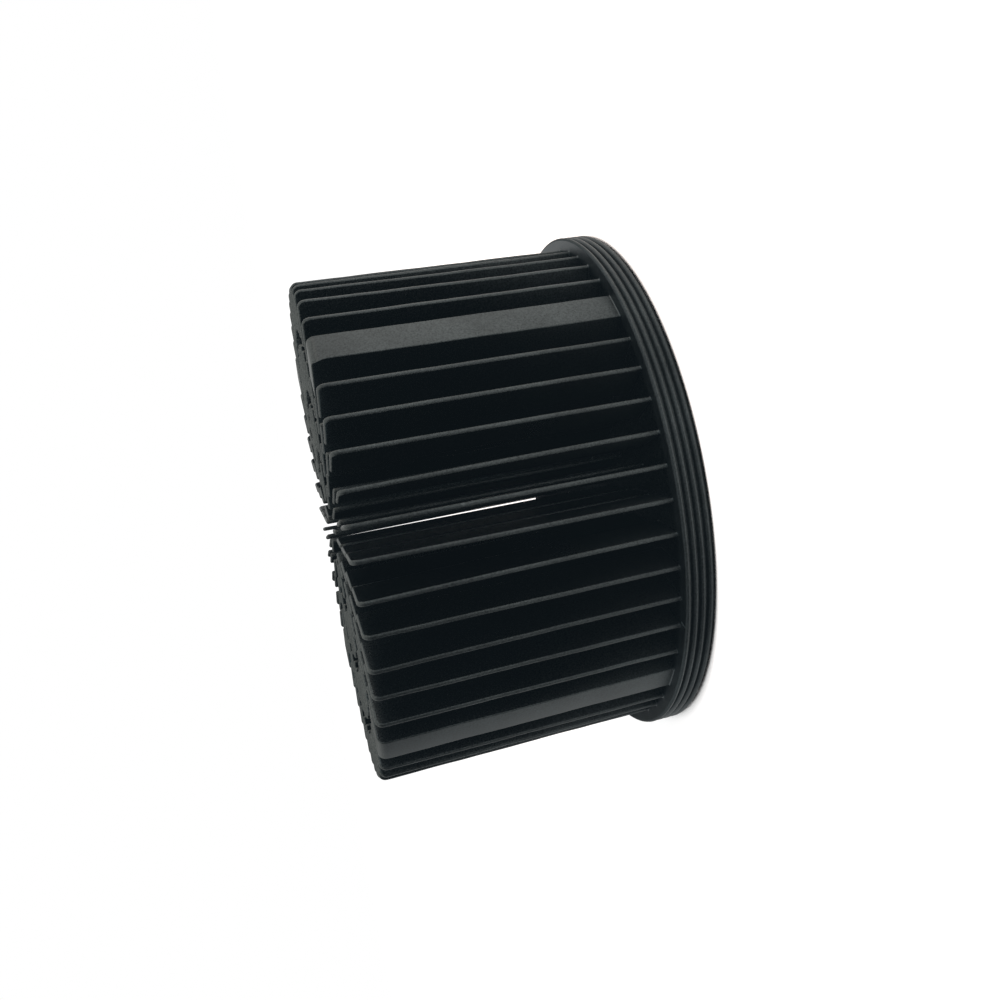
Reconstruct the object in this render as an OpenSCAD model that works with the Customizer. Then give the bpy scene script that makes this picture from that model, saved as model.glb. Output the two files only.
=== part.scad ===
// LED heat sink, cold forged from aluminium in one piece.
// A round flange carries four rings of thin radial fins, with four thick ribs in the outer ring.
// The flat LED face lies on z = 0, centred on the origin, and the fins stand up along +Z.
// Every ring starts its fins on the +X axis, and the first rib stands there too.

/* [Flange] */
// Diameter over the ridges of the rim
flange_d = 105; // [90:1:130]
// Thickness from the LED face to the fin roots
flange_t = 5.8; // [4:0.1:10]
// Plain ledge between the fins and the edge of the flange
ledge_w = 2.5; // [1:0.25:5]

/* [Rim] */
// Number of round ridges one above the other
rim_ridges = 4; // [2:1:6]
// Width of the groove between two ridges
rim_groove_w = 0.5; // [0.3:0.05:0.6]
// Depth of the grooves below the ridges
rim_groove_depth = 0.7; // [0.6:0.1:1.5]
// Height of the plain edge below the ridges, at the LED face
rim_lip_h = 0.5; // [0.2:0.1:0.8]

/* [Fins] */
// Height of the fins above the flange
fin_h = 55.2; // [20:0.1:90]
// Thickness of a fin
fin_t = 0.9; // [0.6:0.05:1.4]
// Length of a fin along the radius
fin_l = 9.2; // [6:0.1:11]
// Clear gap between one ring of fins and the next
ring_gap = 2.8; // [1.5:0.1:4]
// Radius that is kept free of fins in the middle
middle_clear_r = 7; // [6:0.25:10]
// Radius of the turned corner where the tips meet the outside
tip_corner_r = 1.5; // [0.5:0.1:4]

/* [Fin counts] */
// Fins of the outer ring between two ribs
sector_fins = 11; // [5:1:13]
// Fins of the second ring from the outside
second_ring_fins = 40; // [20:1:48]
// Fins of the third ring
third_ring_fins = 24; // [12:1:30]
// Fins of the ring round the free middle
inner_ring_fins = 9; // [5:1:12]

/* [Ribs] */
// Number of thick ribs in the outer ring
rib_count = 4; // [3:1:6]
// Width of a rib across the radius
rib_w = 6; // [3:0.25:9]

/* [Hidden] */
$fn = 96;

anodised_black = "#1d2022";

// Flange and rim
flange_r = flange_d / 2;
ridge_w = (flange_t - rim_lip_h - (rim_ridges - 1) * rim_groove_w) / rim_ridges;
ridge_pitch = ridge_w + rim_groove_w;
crown_r = ridge_w / 2;
crown_base_r = flange_r - crown_r;
core_r = flange_r - rim_groove_depth;

// The fins are one with the flange, so each plate starts inside it
root_depth = flange_t / 2;
root_z = flange_t - root_depth;
tip_z = flange_t + fin_h;

// The outside of the fins is turned to one cylinder with a round corner at the tips
envelope_r = flange_r - ledge_w;
corner_r = min(tip_corner_r, fin_l / 2, fin_h / 2);
turning_allowance = 1;

// Rings are counted from the outside
ring_pitch = fin_l + ring_gap;
inner_fin_counts = [second_ring_fins, third_ring_fins, inner_ring_fins];

// In the outer ring all clear gaps are alike, beside a rib and between two fins
sector_angle = 360 / rib_count;
rib_angle = 2 * asin(rib_w / 2 / envelope_r);
fin_angle = 2 * asin(fin_t / 2 / envelope_r);
gap_angle = (sector_angle - rib_angle - sector_fins * fin_angle) / (sector_fins + 1);
first_fin_angle = (rib_angle + fin_angle) / 2 + gap_angle;
fin_pitch_angle = fin_angle + gap_angle;

function ring_outer_r(ring) = envelope_r - ring * ring_pitch;
function ring_inner_r(ring) = max(ring_outer_r(ring) - fin_l, middle_clear_r);

// One upright plate on the +X side, from the flange to the tips
module plate(inner_r, outer_r, thickness) {
    translate([inner_r, -thickness / 2, root_z])
        cube([outer_r - inner_r, thickness, tip_z - root_z]);
}

// Half section of the flange: a plain edge at the LED face, then ridges with round crowns
module flange_section() {
    square([core_r, flange_t]);
    square([crown_base_r, rim_lip_h]);
    for (ridge = [0 : rim_ridges - 1])
        translate([0, rim_lip_h + ridge * ridge_pitch]) {
            square([crown_base_r, ridge_w]);
            translate([crown_base_r, crown_r])
                intersection() {
                    circle(crown_r);
                    translate([0, -crown_r])
                        square([crown_r, ridge_w]);
                }
        }
}

module flange() {
    rotate_extrude()
        flange_section();
}

// Half section of the turned outside of the fins
module envelope_section() {
    square([envelope_r - corner_r, tip_z]);
    square([envelope_r, tip_z - corner_r]);
    translate([envelope_r - corner_r, tip_z - corner_r])
        intersection() {
            circle(corner_r);
            square(corner_r);
        }
}

module outer_ring() {
    inner_r = ring_inner_r(0);
    rough_r = envelope_r + turning_allowance;
    intersection() {
        for (sector = [0 : rib_count - 1])
            rotate(sector * sector_angle) {
                plate(inner_r, rough_r, rib_w);
                for (fin = [0 : sector_fins - 1])
                    rotate(first_fin_angle + fin * fin_pitch_angle)
                        plate(inner_r, rough_r, fin_t);
            }
        rotate_extrude()
            envelope_section();
    }
}

// A ring that has no room left beside the free middle is dropped
module inner_rings() {
    for (ring = [1 : len(inner_fin_counts)])
        if (ring_outer_r(ring) - ring_inner_r(ring) > fin_t)
            for (fin = [0 : inner_fin_counts[ring - 1] - 1])
                rotate(fin * 360 / inner_fin_counts[ring - 1])
                    plate(ring_inner_r(ring), ring_outer_r(ring), fin_t);
}

module heat_sink() {
    color(anodised_black)
        union() {
            flange();
            outer_ring();
            inner_rings();
        }
}

heat_sink();
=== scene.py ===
import math
import random

import bmesh
import bpy
from mathutils import Matrix, Vector
from mathutils.geometry import delaunay_2d_cdt


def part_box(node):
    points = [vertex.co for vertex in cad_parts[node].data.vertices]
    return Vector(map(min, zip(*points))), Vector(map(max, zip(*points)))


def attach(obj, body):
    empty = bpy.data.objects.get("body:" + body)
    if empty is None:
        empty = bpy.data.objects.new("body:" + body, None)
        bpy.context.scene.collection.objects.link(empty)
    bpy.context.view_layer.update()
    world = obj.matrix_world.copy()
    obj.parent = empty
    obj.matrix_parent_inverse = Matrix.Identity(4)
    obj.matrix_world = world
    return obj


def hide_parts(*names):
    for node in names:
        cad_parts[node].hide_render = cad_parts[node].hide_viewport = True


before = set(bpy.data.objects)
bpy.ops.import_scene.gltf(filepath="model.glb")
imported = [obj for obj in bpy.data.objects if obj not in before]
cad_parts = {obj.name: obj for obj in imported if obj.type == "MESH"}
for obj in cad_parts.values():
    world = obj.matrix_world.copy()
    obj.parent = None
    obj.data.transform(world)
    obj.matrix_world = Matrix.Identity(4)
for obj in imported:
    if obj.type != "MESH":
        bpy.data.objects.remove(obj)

scene = bpy.context.scene
scene.view_settings.view_transform = "Standard"
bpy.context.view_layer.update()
mm = 0.001  # sizes below are millimetres, Blender works in metres
lowCorner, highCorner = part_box("heat_sink")
print("frame loaded, flange", round((highCorner.x - lowCorner.x) / mm, 2), "mm across")


def toLinear(hexColour):
    parts = [int(hexColour[k:k + 2], 16) / 255 for k in (1, 3, 5)]
    return [c / 12.92 if c <= 0.04045 else ((c + 0.055) / 1.055) ** 2.4 for c in parts] + [1.0]


# Bearing is counted from -Y towards +X, rise from the floor
def around(bearing, rise, away):
    turn, tilt = math.radians(bearing), math.radians(rise)
    level = math.cos(tilt)
    return Vector((math.sin(turn) * level, -math.cos(turn) * level, math.sin(tilt))) * away * mm


def addNode(tree, kind, settings=None, links=None):
    node = tree.nodes.new(kind)
    for name, value in (settings or {}).items():
        if isinstance(name, int) or name in node.inputs:
            node.inputs[name].default_value = value
        else:
            setattr(node, name, value)
    for socket, source in (links or {}).items():
        tree.links.new(source, node.inputs[socket])
    return node


# The forging: a flange with a ridged rim, rings of radial fins and thick ribs
sink = {
    "clearance": 0.005,  # the rim stays just inside the solid
    "flangeThick": 5.8,
    "ledge": 2.5,  # plain flange outside the fins
    "lipHigh": 0.5,  # plain edge below the ridges
    "lipIn": 0.3,  # the edge at the LED face leans inwards
    "lipRound": 0.15,
    "ridges": 4,
    "grooveWide": 0.5,
    "grooveDeep": 1.0,
    "finThick": 0.9,
    "finLong": 9.2,
    "ringGap": 2.8,
    "middleFree": 7.0,
    "innerRings": (40, 24, 9),  # fins in each ring, from the outside in
    "sectorFins": 11,
    "ribs": 4,
    "ribWide": 6.0,
    "tipCorner": 1.5,  # turned with the outside of the fins
    "endCorner": 0.35,
    "edgeRound": 0.38,  # blasting takes the sharpness off every edge
    "ribRound": 0.2,
    "rootFillet": 0.25,
}
# How finely the forging is meshed and how far it strays from the drawing
mesh = {
    "rimSteps": 288,
    "crownSteps": 10,
    "crownPower": 1.7,  # 1 is a half circle, 2 a parabola
    "grooveSteps": 5,
    "edgeSteps": 3,
    "cornerSteps": 6,
    "filletSteps": 3,
    "outerLevels": 56,
    "innerLevels": 14,
    "flatStep": 1.5,  # between the layers of a thick plate
    "joinWithin": 1e-6,  # corners of the flange top this close become one
    "normalWeight": 100,  # large faces rule the shading beside them
    "lean": 0.08,  # forged fins come out of the die slightly bent
    "drop": 0.03,  # and not all equally high
    "wave": 0.025,  # ripple of the outer edges
    "waveCount": 2.3,  # so many of the longest waves on a fin
    "overtones": (1, 2, 3, 5),
    "seed": 11,
    # ring and number of the fins that stand off their place, by so many mm at the root and at the tip
    "strays": {
        (0, 1): (0.0, -0.15), (0, 2): (0.35, 0.95), (0, 3): (0.45, 1.0), (0, 19): (-0.1, -0.65),
        (0, 35): (-0.3, -0.1), (0, 37): (-0.6, -0.65), (0, 38): (-0.1, -0.15), (0, 39): (-0.15, -0.6),
        (0, 40): (-0.1, -0.15), (0, 41): (0.05, -0.4), (0, 42): (0.1, 0.4), (0, 43): (0.05, 0.05),
        (0, 44): (-0.05, -0.45), (0, 45): (0.0, 0.0), (0, 46): (0.05, -0.1), (0, 47): (0.25, 0.2),
        (1, 16): (-0.08, 0.16), (1, 36): (-0.2, -0.2), (1, 37): (-0.7, -0.7),
        (2, 9): (0.15, 0.15), (2, 10): (-0.12, -0.24), (2, 21): (0.0, 0.0),
        (3, 4): (0.0, 0.0), (3, 8): (0.0, 0.0),
    },
    # a knock has pushed the metal at one corner of the first rib over its edge
    "burr": {
        "plate": (0, 0),
        "out": 49.8,
        "across": -3.0,
        "z": 60.0,
        "reach": 0.9,
        "push": -0.5,
        "upTo": 1.3,  # radians round the edge, so that the flat face beside it stays flat
    },
}

flangeR = min(highCorner.x, highCorner.y, -lowCorner.x, -lowCorner.y) / mm - sink["clearance"]
partHigh = highCorner.z / mm
flangeTop = sink["flangeThick"]
finHigh = partHigh - flangeTop
rootZ = flangeTop + sink["rootFillet"]
ridgeWide = (flangeTop - sink["lipHigh"] - (sink["ridges"] - 1) * sink["grooveWide"]) / sink["ridges"]
crownR = ridgeWide / 2
crownBaseR = flangeR - crownR
turnedR = flangeR - sink["ledge"]
dice = random.Random(mesh["seed"])


def quarterTurn(steps):
    return [math.radians(90 * k / steps) for k in range(steps + 1)]


# Layers through a plate: where each lies across it, and how far it has gone round the edge
def plateLayers(thick, edge):
    half = thick / 2 - edge
    turns = quarterTurn(mesh["edgeSteps"])
    flats = int(2 * half / mesh["flatStep"])
    layers = [(-half, -turn) for turn in reversed(turns)]
    layers += [(half * (2 * k / (flats + 1) - 1), 0.0) for k in range(1, flats + 1)]
    return layers + [(half, turn) for turn in turns]


# One end of a plate from root to tip, as points with the direction that faces outwards
def plateEnd(end, side, corner, tipZ, levels, waves):
    line = []
    for k in range(levels):
        z = rootZ + (tipZ - corner - rootZ) * k / levels
        ripple = sum(size * math.sin(z * 2 * math.pi / length + start) for size, length, start in waves)
        line.append((end + ripple, z, side, 0.0))
    for turn in quarterTurn(mesh["cornerSteps"]):
        away, up = side * math.cos(turn), math.sin(turn)
        line.append((end + corner * (away - side), tipZ + corner * (up - 1), away, up))
    return line


# The knocked corner: how far the rounding of the edge is pushed over the face beside it
def knocked(label, bend, r, across, z):
    burr = mesh["burr"]
    if label != burr["plate"] or abs(bend) > burr["upTo"]:
        return 0.0
    far = math.dist((r, across, z), (burr["out"], burr["across"], burr["z"])) / burr["reach"]
    return burr["push"] * max(1 - far ** 2, 0)


def addPlate(body, label, angle, innerR, outerR, thick, edge, corner, levels):
    turn = Matrix.Rotation(angle, 3, "Z")
    chance = dice.uniform(-mesh["lean"], mesh["lean"]) * sink["finThick"] / thick
    atRoot, atTip = mesh["strays"].get(label, (0.0, chance))
    tipZ = partHigh - dice.uniform(0, mesh["drop"])
    waves = [(mesh["wave"] / n, finHigh / (mesh["waveCount"] * n), dice.uniform(0, 2 * math.pi))
             for n in mesh["overtones"]]
    layers = plateLayers(thick, edge)

    def vertex(along, across, z):
        rise = max(z - rootZ, 0) / finHigh
        bent = across + atRoot + (atTip - atRoot) * rise ** 2
        return body.verts.new(turn @ Vector((along, bent, z)) * mm)

    outerLines, innerLines = [], []
    for place, bend in layers:
        across = place + edge * math.sin(bend)
        inset = edge * (1 - math.cos(bend))
        reach = math.sqrt(outerR ** 2 - place ** 2)
        outer = plateEnd(reach, 1, corner, tipZ, levels, waves)
        inner = plateEnd(innerR, -1, sink["endCorner"], tipZ, levels, [])
        outerLines.append([])
        for r, z, away, up in outer:
            pushed = across + knocked(label, bend, r, across, z)
            outerLines[-1].append(vertex(r - inset * away, pushed, z - inset * up))
        innerLines.append([vertex(r - inset * away, across, z - inset * up) for r, z, away, up in inner])

    # both ends and the tip, strip by strip, then the two faces
    for outA, outB, inA, inB in zip(outerLines, outerLines[1:], innerLines, innerLines[1:]):
        for k in range(len(outA) - 1):
            body.faces.new((outA[k], outB[k], outB[k + 1], outA[k + 1]))
            body.faces.new((inB[k], inA[k], inA[k + 1], inB[k + 1]))
        body.faces.new((outA[-1], outB[-1], inB[-1], inA[-1]))
    for lineA, lineB in ((outerLines[0], innerLines[0]), (innerLines[-1], outerLines[-1])):
        for k in range(len(lineA) - 1):
            body.faces.new((lineB[k], lineA[k], lineA[k + 1], lineB[k + 1]))

    # the root spreads into the flange in a fillet, ring by ring
    ring = [line[0] for line in outerLines] + [line[0] for line in reversed(innerLines)]
    for sweep in quarterTurn(mesh["filletSteps"])[1:]:
        spread = sink["rootFillet"] * (1 - math.cos(sweep))
        z = rootZ - sink["rootFillet"] * math.sin(sweep)
        outer, inner = [], []
        for place, bend in layers:
            across = place + (edge + spread) * math.sin(bend)
            away = (edge + spread) * math.cos(bend) - edge
            outer.append(vertex(math.sqrt(outerR ** 2 - place ** 2) + away, across, z))
            inner.append(vertex(innerR - away, across, z))
        lower = outer + inner[::-1]
        for k in range(len(ring)):
            body.faces.new((ring[k - 1], lower[k - 1], lower[k], ring[k]))
        ring = lower
    return ring


# Section of the rim from the LED face up: a plain lip, a round crown, a round groove, and so on
def rimSection():
    lip = sink["lipRound"]
    lipR = crownBaseR - sink["lipIn"]
    section = [(lipR + lip * (math.sin(turn) - 1), lip * (1 - math.cos(turn)))
               for turn in quarterTurn(mesh["edgeSteps"])]
    for ridge in range(sink["ridges"]):
        foot = sink["lipHigh"] + ridge * (ridgeWide + sink["grooveWide"])
        for k in range(mesh["crownSteps"] + 1):
            turn = math.pi * (k / mesh["crownSteps"] - 0.5)
            proud = crownR * math.cos(turn) ** mesh["crownPower"]
            section.append((crownBaseR + proud, foot + crownR * (1 + math.sin(turn))))
        if ridge < sink["ridges"] - 1:
            for k in range(1, mesh["grooveSteps"]):
                turn = math.pi * (k / mesh["grooveSteps"] - 0.5)
                z = foot + ridgeWide + sink["grooveWide"] / 2 * (1 + math.sin(turn))
                section.append((crownBaseR - (sink["grooveDeep"] - crownR) * math.cos(turn), z))
    return section


def addFlange(body, footprints):
    spokes = [2 * math.pi * k / mesh["rimSteps"] for k in range(mesh["rimSteps"])]
    rings = []
    for r, z in rimSection():
        rings.append([body.verts.new(Vector((r * math.cos(a), r * math.sin(a), z)) * mm) for a in spokes])
    for lower, upper in zip(rings, rings[1:]):
        for k in range(len(spokes)):
            body.faces.new((lower[k - 1], lower[k], upper[k], upper[k - 1]))
    middle = body.verts.new((0, 0, 0))
    for k in range(len(spokes)):
        body.faces.new((middle, rings[0][k], rings[0][k - 1]))

    # the flange top is filled round the roots of the plates
    corners, edges, owner = [], [], []
    for number, loop in enumerate([rings[-1]] + footprints):
        first = len(corners)
        corners += loop
        owner += [number] * len(loop)
        edges += [(first + k, first + (k + 1) % len(loop)) for k in range(len(loop))]
    flat = [Vector((v.co.x, v.co.y)) / mm for v in corners]
    filled = delaunay_2d_cdt(flat, edges, [], 0, mesh["joinWithin"], True)
    for face in filled[2]:
        trio = [filled[3][k][0] for k in face]
        if owner[trio[0]] == owner[trio[1]] == owner[trio[2]] != 0:
            continue  # inside a plate
        body.faces.new([corners[k] for k in trio])


body = bmesh.new()
footprints = []
sector = 2 * math.pi / sink["ribs"]
ribAngle = 2 * math.asin(sink["ribWide"] / 2 / turnedR)
finAngle = 2 * math.asin(sink["finThick"] / 2 / turnedR)
gapAngle = (sector - ribAngle - sink["sectorFins"] * finAngle) / (sink["sectorFins"] + 1)
outerInnerR = turnedR - sink["finLong"]
for rib in range(sink["ribs"]):
    number = rib * (sink["sectorFins"] + 1)
    footprints.append(addPlate(body, (0, number), rib * sector, outerInnerR, turnedR, sink["ribWide"],
                               sink["ribRound"], sink["tipCorner"], mesh["outerLevels"]))
    for fin in range(sink["sectorFins"]):
        angle = rib * sector + (ribAngle + finAngle) / 2 + gapAngle + fin * (finAngle + gapAngle)
        footprints.append(addPlate(body, (0, number + 1 + fin), angle, outerInnerR, turnedR, sink["finThick"],
                                   sink["edgeRound"], sink["tipCorner"], mesh["outerLevels"]))
print("outer ring built,", len(footprints), "plates")

for ring, count in enumerate(sink["innerRings"], 1):
    outerR = turnedR - ring * (sink["finLong"] + sink["ringGap"])
    innerR = max(outerR - sink["finLong"], sink["middleFree"])
    for fin in range(count):
        angle = fin * 2 * math.pi / count
        footprints.append(addPlate(body, (ring, fin), angle, innerR, outerR, sink["finThick"],
                                   sink["edgeRound"], sink["endCorner"], mesh["innerLevels"]))
print("inner rings built,", len(footprints), "plates in all")

addFlange(body, footprints)
bmesh.ops.recalc_face_normals(body, faces=body.faces)
openEdges = sum(not edge.is_manifold for edge in body.edges)
sinkMesh = bpy.data.meshes.new("forgedHeatSink")
body.to_mesh(sinkMesh)
body.free()
sinkMesh.shade_smooth()
forgedSink = bpy.data.objects.new("forgedHeatSink", sinkMesh)
scene.collection.objects.link(forgedSink)
evened = forgedSink.modifiers.new("flatFacesStayFlat", "WEIGHTED_NORMAL")
evened.weight = mesh["normalWeight"]
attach(forgedSink, "root")
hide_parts("heat_sink")
print("forging closed,", len(sinkMesh.polygons), "faces,", openEdges, "open edges")


# Black anodised aluminium, bead blasted before it was dyed: a matt, faintly sparkling charcoal
anodised = {
    "dye": "#383d3e",
    "paleDye": "#414748",  # the dye takes unevenly, in soft clouds
    "tipWearAndHighlightDye": "#575a57",  # the edges of the tips are painted paler: some wear from handling, and a painted highlight in place of light from behind
    "cloudSize": 14.0,
    "cloudDetail": 2.0,
    "cloudRange": (0.35, 0.65),  # the noise seldom leaves it
    "grainSize": 0.3,  # real blasting pits are about 0.05 mm, drawn coarser to show
    "grainDetail": 3.0,
    "grainFade": 0.6,  # how strongly each finer level of grain counts
    "grainRange": (0.3, 0.7),
    "grainDepth": 0.012,
    "grainBump": 0.5,
    "speckle": 0.5,  # how far single grains stray from the dye
    "edgeRough": 0.58,  # edges, tips and rim
    "faceRough": 0.32,  # faces drawn through the die
    "roughSpread": 0.08,  # from grain to grain
    "edgeSheen": 1.0,
    "faceSheen": 0.15,  # the faces brighten less at a low angle
    "sheenFull": 2.0,  # sum of the two masks at which the sheen is full
    "faceRange": (0.97, 0.85),  # sideways part of the normal on a face, and on what counts as an edge
    "rootLong": 30.0,  # faces are rougher so far up from their roots
    "floorReach": 0.4,  # so far above and below the flange top still counts as flange top
    "stripWide": 2.0,  # the blasting reaches so far in between the fins
    "ledgeCalm": 0.6,  # the flange top stays smoother than the edges
    "ledgeSheen": 0.8,
    "paintedGlow": "#0c1114",  # painted glow: the finish emits this faint blue light of its own, which stands in for stray light and keeps the deepest gaps off pure black
    "paintedGlowLevel": 1.0,
    # where the dye is rubbed or chipped off: bearing, mm out, mm up, mm wide, how much paler
    "nicks": (
        (52.1, 50.0, 41.8, 0.8, 2.0),
        (18.2, 50.5, 5.8, 0.7, 11.0),
        (18.2, 51.1, 5.8, 0.7, 11.0),
        (18.2, 51.7, 5.8, 0.7, 11.0),
    ),
}


def makeAnodised():
    material = bpy.data.materials.new("Black anodised aluminium, bead blasted")
    material.use_nodes = True
    tree = material.node_tree
    tree.nodes.clear()
    place = addNode(tree, "ShaderNodeTexCoord")
    grain = addNode(tree, "ShaderNodeTexNoise",
                    {"Scale": 1 / (anodised["grainSize"] * mm), "Detail": anodised["grainDetail"],
                     "Roughness": anodised["grainFade"]},
                    {"Vector": place.outputs["Object"]})
    cloud = addNode(tree, "ShaderNodeTexNoise",
                    {"Scale": 1 / (anodised["cloudSize"] * mm), "Detail": anodised["cloudDetail"]},
                    {"Vector": place.outputs["Object"]})
    cloudLow, cloudHigh = anodised["cloudRange"]
    grainLow, grainHigh = anodised["grainRange"]

    # 0 on the faces of the fins, 1 on what faces outwards, inwards or along the axis
    flat = addNode(tree, "ShaderNodeVectorMath", {"operation": "MULTIPLY", 1: (1, 1, 0)},
                   {0: place.outputs["Object"]})
    spoke = addNode(tree, "ShaderNodeVectorMath", {"operation": "NORMALIZE"}, {0: flat.outputs["Vector"]})
    across = addNode(tree, "ShaderNodeVectorMath", {"operation": "CROSS_PRODUCT", 1: (0, 0, 1)},
                     {0: spoke.outputs["Vector"]})
    sideways = addNode(tree, "ShaderNodeVectorMath", {"operation": "DOT_PRODUCT"},
                       {0: across.outputs["Vector"], 1: place.outputs["Normal"]})
    amount = addNode(tree, "ShaderNodeMath", {"operation": "ABSOLUTE"}, {0: sideways.outputs["Value"]})
    onFace, onEdge = anodised["faceRange"]
    edges = addNode(tree, "ShaderNodeMapRange", {"From Min": onFace, "From Max": onEdge},
                    {"Value": amount.outputs["Value"]})
    axes = addNode(tree, "ShaderNodeSeparateXYZ", links={0: place.outputs["Object"]})

    # clouded dye, paler in the nicks and at the edges of the tips, where the paleness is partly wear and
    # partly a painted highlight
    dyed = addNode(tree, "ShaderNodeMapRange", {"From Min": cloudLow, "From Max": cloudHigh},
                   {"Value": cloud.outputs["Fac"]})
    dye = addNode(tree, "ShaderNodeMix",
                  {"data_type": "RGBA", 6: toLinear(anodised["dye"]), 7: toLinear(anodised["paleDye"])},
                  {0: dyed.outputs["Result"]})
    tips = addNode(tree, "ShaderNodeMapRange",
                   {"From Min": (partHigh - sink["tipCorner"]) * mm, "From Max": partHigh * mm},
                   {"Value": axes.outputs["Z"]})
    tipWearAndHighlight = addNode(tree, "ShaderNodeMath", {"operation": "MULTIPLY"},
                     {0: tips.outputs["Result"], 1: edges.outputs["Result"]})
    finish = addNode(tree, "ShaderNodeMix", {"data_type": "RGBA", 7: toLinear(anodised["tipWearAndHighlightDye"])},
                     {0: tipWearAndHighlight.outputs["Value"], 6: dye.outputs[2]})
    sparkle = addNode(tree, "ShaderNodeMapRange",
                      {"From Min": grainLow, "From Max": grainHigh,
                       "To Min": 1 - anodised["speckle"], "To Max": 1 + anodised["speckle"]},
                      {"Value": grain.outputs["Fac"]})
    tone = sparkle.outputs["Result"]
    for bearing, out, up, wide, paler in anodised["nicks"]:
        spot = around(bearing, 0, out) + Vector((0, 0, up * mm))
        away = addNode(tree, "ShaderNodeVectorMath", {"operation": "DISTANCE", 1: spot},
                       {0: place.outputs["Object"]})
        chipped = addNode(tree, "ShaderNodeMapRange",
                          {"From Max": wide / 2 * mm, "To Min": paler},
                          {"Value": away.outputs["Value"]})
        tone = addNode(tree, "ShaderNodeMath", {"operation": "MULTIPLY"},
                       {0: tone, 1: chipped.outputs["Result"]}).outputs["Value"]
    colour = addNode(tree, "ShaderNodeVectorMath", {"operation": "SCALE"},
                     {0: finish.outputs[2], "Scale": tone})

    # the blasting doesn't reach the flange top between the fins, only a strip of it at their outer ends
    flangeLevel = addNode(tree, "ShaderNodeMath",
                          {"operation": "COMPARE", 1: flangeTop * mm, 2: anodised["floorReach"] * mm},
                          {0: axes.outputs["Z"]})
    exposed = addNode(tree, "ShaderNodeMath", {"operation": "SUBTRACT"},
                      {0: edges.outputs["Result"], 1: flangeLevel.outputs["Value"]})
    fromAxis = addNode(tree, "ShaderNodeVectorMath", {"operation": "LENGTH"}, {0: flat.outputs["Vector"]})
    outermost = addNode(tree, "ShaderNodeMapRange",
                        {"From Min": (turnedR - anodised["stripWide"]) * mm, "From Max": turnedR * mm},
                        {"Value": fromAxis.outputs["Value"]})
    strip = addNode(tree, "ShaderNodeMath", {"operation": "MULTIPLY"},
                    {0: outermost.outputs["Result"], 1: flangeLevel.outputs["Value"]})
    # the faces stay rougher towards their roots, where the die has drawn less over them
    roots = addNode(tree, "ShaderNodeMapRange",
                    {"From Min": (flangeTop + anodised["rootLong"]) * mm, "From Max": flangeTop * mm},
                    {"Value": axes.outputs["Z"]})
    undrawn = addNode(tree, "ShaderNodeMath", {"operation": "MULTIPLY"},
                      {0: roots.outputs["Result"], 1: amount.outputs["Value"]})
    rougher = addNode(tree, "ShaderNodeMath", {"operation": "MAXIMUM"},
                      {0: undrawn.outputs["Value"], 1: strip.outputs["Value"]})
    blasted = addNode(tree, "ShaderNodeMath", {"operation": "MAXIMUM"},
                      {0: exposed.outputs["Value"], 1: rougher.outputs["Value"]})

    # the flange top within the ridges is calmer, and its sheen is its own
    inside = addNode(tree, "ShaderNodeMath", {"operation": "LESS_THAN", 1: crownBaseR * mm},
                     {0: fromAxis.outputs["Value"]})
    ledge = addNode(tree, "ShaderNodeMath", {"operation": "MULTIPLY"},
                    {0: flangeLevel.outputs["Value"], 1: inside.outputs["Value"]})
    keyed = addNode(tree, "ShaderNodeMath", {"operation": "MULTIPLY_ADD", 1: -anodised["ledgeCalm"]},
                    {0: ledge.outputs["Value"], 2: blasted.outputs["Value"]})
    plain = addNode(tree, "ShaderNodeMapRange",
                    {"To Min": anodised["faceRough"], "To Max": anodised["edgeRough"]},
                    {"Value": keyed.outputs["Value"]})
    spread = addNode(tree, "ShaderNodeMapRange",
                     {"From Min": grainLow, "From Max": grainHigh,
                      "To Min": -anodised["roughSpread"], "To Max": anodised["roughSpread"]},
                     {"Value": grain.outputs["Fac"]})
    matt = addNode(tree, "ShaderNodeMath", {"operation": "ADD"},
                   {0: plain.outputs["Result"], 1: spread.outputs["Result"]})
    bothMasks = addNode(tree, "ShaderNodeMath", {"operation": "ADD"},
                        {0: exposed.outputs["Value"], 1: blasted.outputs["Value"]})
    bared = addNode(tree, "ShaderNodeMath", {"operation": "MULTIPLY_ADD", 1: anodised["ledgeSheen"]},
                    {0: ledge.outputs["Value"], 2: bothMasks.outputs["Value"]})
    sheen = addNode(tree, "ShaderNodeMapRange",
                    {"From Max": anodised["sheenFull"],
                     "To Min": anodised["faceSheen"], "To Max": anodised["edgeSheen"]},
                    {"Value": bared.outputs["Value"]})
    pits = addNode(tree, "ShaderNodeBump",
                   {"Strength": anodised["grainBump"], "Distance": anodised["grainDepth"] * mm},
                   {"Height": grain.outputs["Fac"]})
    # the emission is the painted glow, a faint light that the real finish does not give
    surface = addNode(tree, "ShaderNodeBsdfPrincipled",
                      {"Metallic": 1.0, "Emission Color": toLinear(anodised["paintedGlow"]),
                       "Emission Strength": anodised["paintedGlowLevel"]},
                      {"Base Color": colour.outputs["Vector"], "Roughness": matt.outputs["Value"],
                       "Specular Tint": sheen.outputs["Result"], "Normal": pits.outputs["Normal"]})
    addNode(tree, "ShaderNodeOutputMaterial", links={"Surface": surface.outputs["BSDF"]})
    return material


sinkMesh.materials.append(makeAnodised())
print("anodised finish made")

# White studio: paper that glows white to the camera and in reflections, and is plain lit paper to all else
studio = {
    "backdrop": "#ffffff",
    "world": 1.0,
    "floorWide": 8000.0,
    "floorDrop": 0.05,
    "paper": "#f2f2f2",
    "glow": 0.8,
    "shadowShare": 0.33,  # how much of the lit paper, and so of the shadow, is added to the glow
    "contact": 4.0,  # how far the painted contact shadow under the rim looks for cover
    "contactRange": (0.25, 0.55),  # open share of the sky where that line is black, and where it ends
    "contactSamples": 4,
}


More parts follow.
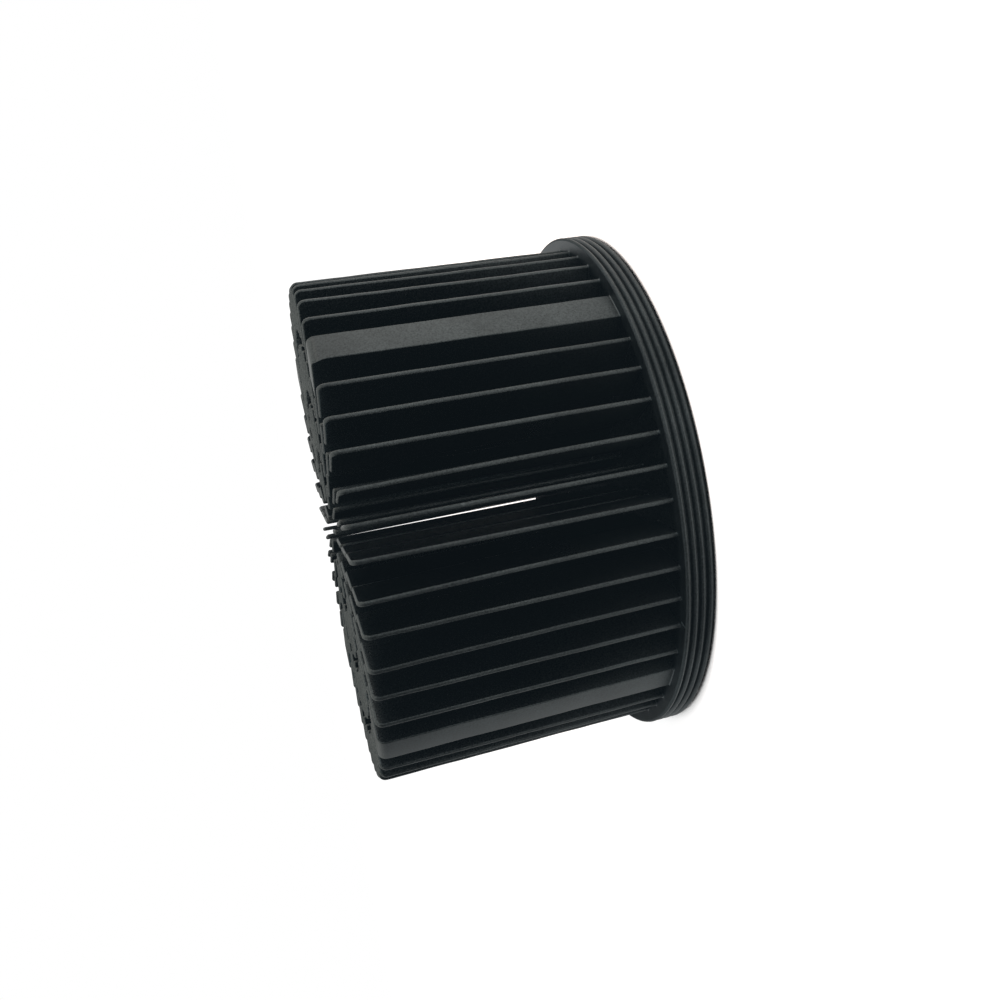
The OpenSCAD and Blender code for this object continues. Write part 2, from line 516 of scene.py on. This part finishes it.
# A flat sheet from its four corners
def makeSheet(name, corners):
    sheet = bpy.data.meshes.new(name)
    sheet.from_pydata(corners, [], [(0, 1, 2, 3)])
    return sheet


def makeWorld():
    world = bpy.data.worlds.new("White studio")
    scene.world = world
    world.use_nodes = True
    tree = world.node_tree
    tree.nodes.clear()
    back = addNode(tree, "ShaderNodeBackground",
                   {"Color": toLinear(studio["backdrop"]), "Strength": studio["world"]})
    addNode(tree, "ShaderNodeOutputWorld", links={"Surface": back.outputs["Background"]})


# Uncoated white paper, rolled: an even white without any gloss
def makePaper():
    material = bpy.data.materials.new("White studio paper, uncoated")
    material.use_nodes = True
    tree = material.node_tree
    tree.nodes.clear()
    # painted contact shadow: where ambient occlusion finds the rim close, the paper's colour and its glow are
    # darkened
    cover = addNode(tree, "ShaderNodeAmbientOcclusion",
                    {"samples": studio["contactSamples"], "Distance": studio["contact"] * mm})
    covered, uncovered = studio["contactRange"]
    light = addNode(tree, "ShaderNodeMapRange", {"From Min": covered, "From Max": uncovered},
                    {"Value": cover.outputs["AO"]})
    colour = addNode(tree, "ShaderNodeVectorMath", {"operation": "SCALE", 0: toLinear(studio["paper"])[:3]},
                     {"Scale": light.outputs["Result"]})
    paper = addNode(tree, "ShaderNodeBsdfDiffuse", links={"Color": colour.outputs["Vector"]})
    level = addNode(tree, "ShaderNodeMath", {"operation": "MULTIPLY", 1: studio["glow"]},
                    {0: light.outputs["Result"]})
    glow = addNode(tree, "ShaderNodeEmission", links={"Strength": level.outputs["Value"]})
    faint = addNode(tree, "ShaderNodeMixShader", {0: studio["shadowShare"]}, {2: paper.outputs["BSDF"]})
    shadowed = addNode(tree, "ShaderNodeAddShader",
                       links={0: glow.outputs["Emission"], 1: faint.outputs["Shader"]})
    # the camera, a reflection or a clear surface sees the glow, all else the paper alone
    rays = addNode(tree, "ShaderNodeLightPath")
    mirrored = addNode(tree, "ShaderNodeMath", {"operation": "MAXIMUM"},
                       {0: rays.outputs["Is Camera Ray"], 1: rays.outputs["Is Glossy Ray"]})
    direct = addNode(tree, "ShaderNodeMath", {"operation": "MAXIMUM"},
                     {0: mirrored.outputs["Value"], 1: rays.outputs["Is Transmission Ray"]})
    shown = addNode(tree, "ShaderNodeMixShader", links={
        0: direct.outputs["Value"], 1: paper.outputs["BSDF"], 2: shadowed.outputs["Shader"]})
    addNode(tree, "ShaderNodeOutputMaterial", links={"Surface": shown.outputs["Shader"]})
    return material


def makeFloor():
    half = studio["floorWide"] / 2 * mm
    z = lowCorner.z - studio["floorDrop"] * mm
    corners = [(-half, -half, z), (half, -half, z), (half, half, z), (-half, half, z)]
    floorMesh = makeSheet("paperFloor", corners)
    floorMesh.materials.append(makePaper())
    floor = bpy.data.objects.new("paperFloor", floorMesh)
    scene.collection.objects.link(floor)


# Painted dark reflections: black sheets beside the camera, behind it and beyond the part, which the camera,
# shadows and bounced light pass through, so only reflections see them
cards = {
    "colour": "#141414",
    "sheets": {
        "sideCard": {"bearing": 8.0, "away": 150.0, "wide": 300.0, "foot": 5.0, "high": 190.0},
        "lensCard": {"bearing": 52.0, "away": 230.0, "wide": 90.0, "foot": 25.0, "high": 115.0},
        "backCard": {"bearing": 248.0, "away": 150.0, "wide": 130.0, "foot": 5.0, "high": 150.0},
    },
}


# Matt black for the painted dark reflections: very dark, and no gloss to show in the metal
def makeReflectionBlack():
    material = bpy.data.materials.new("Matt black for painted dark reflections")
    material.use_nodes = True
    tree = material.node_tree
    tree.nodes.clear()
    paint = addNode(tree, "ShaderNodeBsdfDiffuse", {"Color": toLinear(cards["colour"])})
    addNode(tree, "ShaderNodeOutputMaterial", links={"Surface": paint.outputs["BSDF"]})
    return material


def makeCard(name, card, reflectionBlack):
    wide, foot, high = card["wide"] / 2 * mm, card["foot"] * mm, card["high"] * mm
    corners = [(-wide, 0, foot), (wide, 0, foot), (wide, 0, high), (-wide, 0, high)]
    cardMesh = makeSheet(name, corners)
    cardMesh.materials.append(reflectionBlack)
    stand = bpy.data.objects.new(name, cardMesh)
    stand.location = around(card["bearing"], 0, card["away"])
    stand.rotation_euler.z = math.radians(card["bearing"])
    # a painted dark reflection: only glossy rays see this sheet
    stand.visible_camera = False
    stand.visible_diffuse = False
    stand.visible_shadow = False
    scene.collection.objects.link(stand)


makeWorld()
makeFloor()
reflectionBlack = makeReflectionBlack()
for name, card in cards["sheets"].items():
    makeCard(name, card, reflectionBlack)

# Soft boxes: each faces the middle of the part, or the floor so many mm out on its own bearing
# Level is the brightness of the box's face
lamps = {
    "keyBox": {"bearing": 138.0, "rise": 9.0, "away": 400.0, "floorOut": 0.0, "wide": 420.0,
               "high": 150.0, "level": 2.0, "colour": "#ffe8da", "inMetal": True},
    # only brightens the paper on that side
    "paperBox": {"bearing": 125.0, "rise": 48.0, "away": 330.0, "floorOut": 170.0, "wide": 320.0,
                 "high": 320.0, "level": 12.5, "colour": "#ffe8da", "inMetal": False},
}

aimAt = Vector((0, 0, highCorner.z / 2))
for name, lamp in lamps.items():
    light = bpy.data.lights.new(name, "AREA")
    light.shape = "RECTANGLE"
    light.size = lamp["wide"] * mm
    light.size_y = lamp["high"] * mm
    light.energy = lamp["level"] * math.pi * light.size * light.size_y
    light.color = toLinear(lamp["colour"])[:3]
    box = bpy.data.objects.new(name, light)
    box.location = aimAt + around(lamp["bearing"], lamp["rise"], lamp["away"])
    target = around(lamp["bearing"], 0, lamp["floorOut"]) if lamp["floorOut"] else aimAt
    box.rotation_euler = (target - box.location).to_track_quat("-Z", "Y").to_euler()
    box.visible_camera = False
    box.visible_glossy = lamp["inMetal"]
    scene.collection.objects.link(box)
print("studio lit")

# Camera fitted to the photograph: it is turned on its side, so the sink's axis runs across the picture
shot = {
    "bearing": 52.04,
    "fromAxis": 217.8,
    "height": 69.28,
    "swing": -2.45,  # away from the axis
    "pitch": -17.68,
    "roll": -100.19,
    "focal": 37.29,
    "film": 36.0,
    "shiftX": -0.1056,
    "shiftY": -0.0654,
    "nearest": 10.0,
}


def makeCamera():
    data = bpy.data.cameras.new("photoView")
    data.sensor_width = shot["film"]
    data.lens = shot["focal"]
    data.shift_x = shot["shiftX"]
    data.shift_y = shot["shiftY"]
    data.clip_start = shot["nearest"] * mm
    camera = bpy.data.objects.new("photoView", data)
    stand = around(shot["bearing"], 0, shot["fromAxis"]) + Vector((0, 0, shot["height"] * mm))
    heading = math.radians(shot["bearing"] + shot["swing"])
    upright = math.radians(90 + shot["pitch"])  # an unturned camera looks straight down
    camera.matrix_world = (Matrix.Translation(stand) @ Matrix.Rotation(heading, 4, "Z")
                           @ Matrix.Rotation(upright, 4, "X")
                           @ Matrix.Rotation(math.radians(shot["roll"]), 4, "Z"))
    scene.collection.objects.link(camera)
    scene.camera = camera


makeCamera()
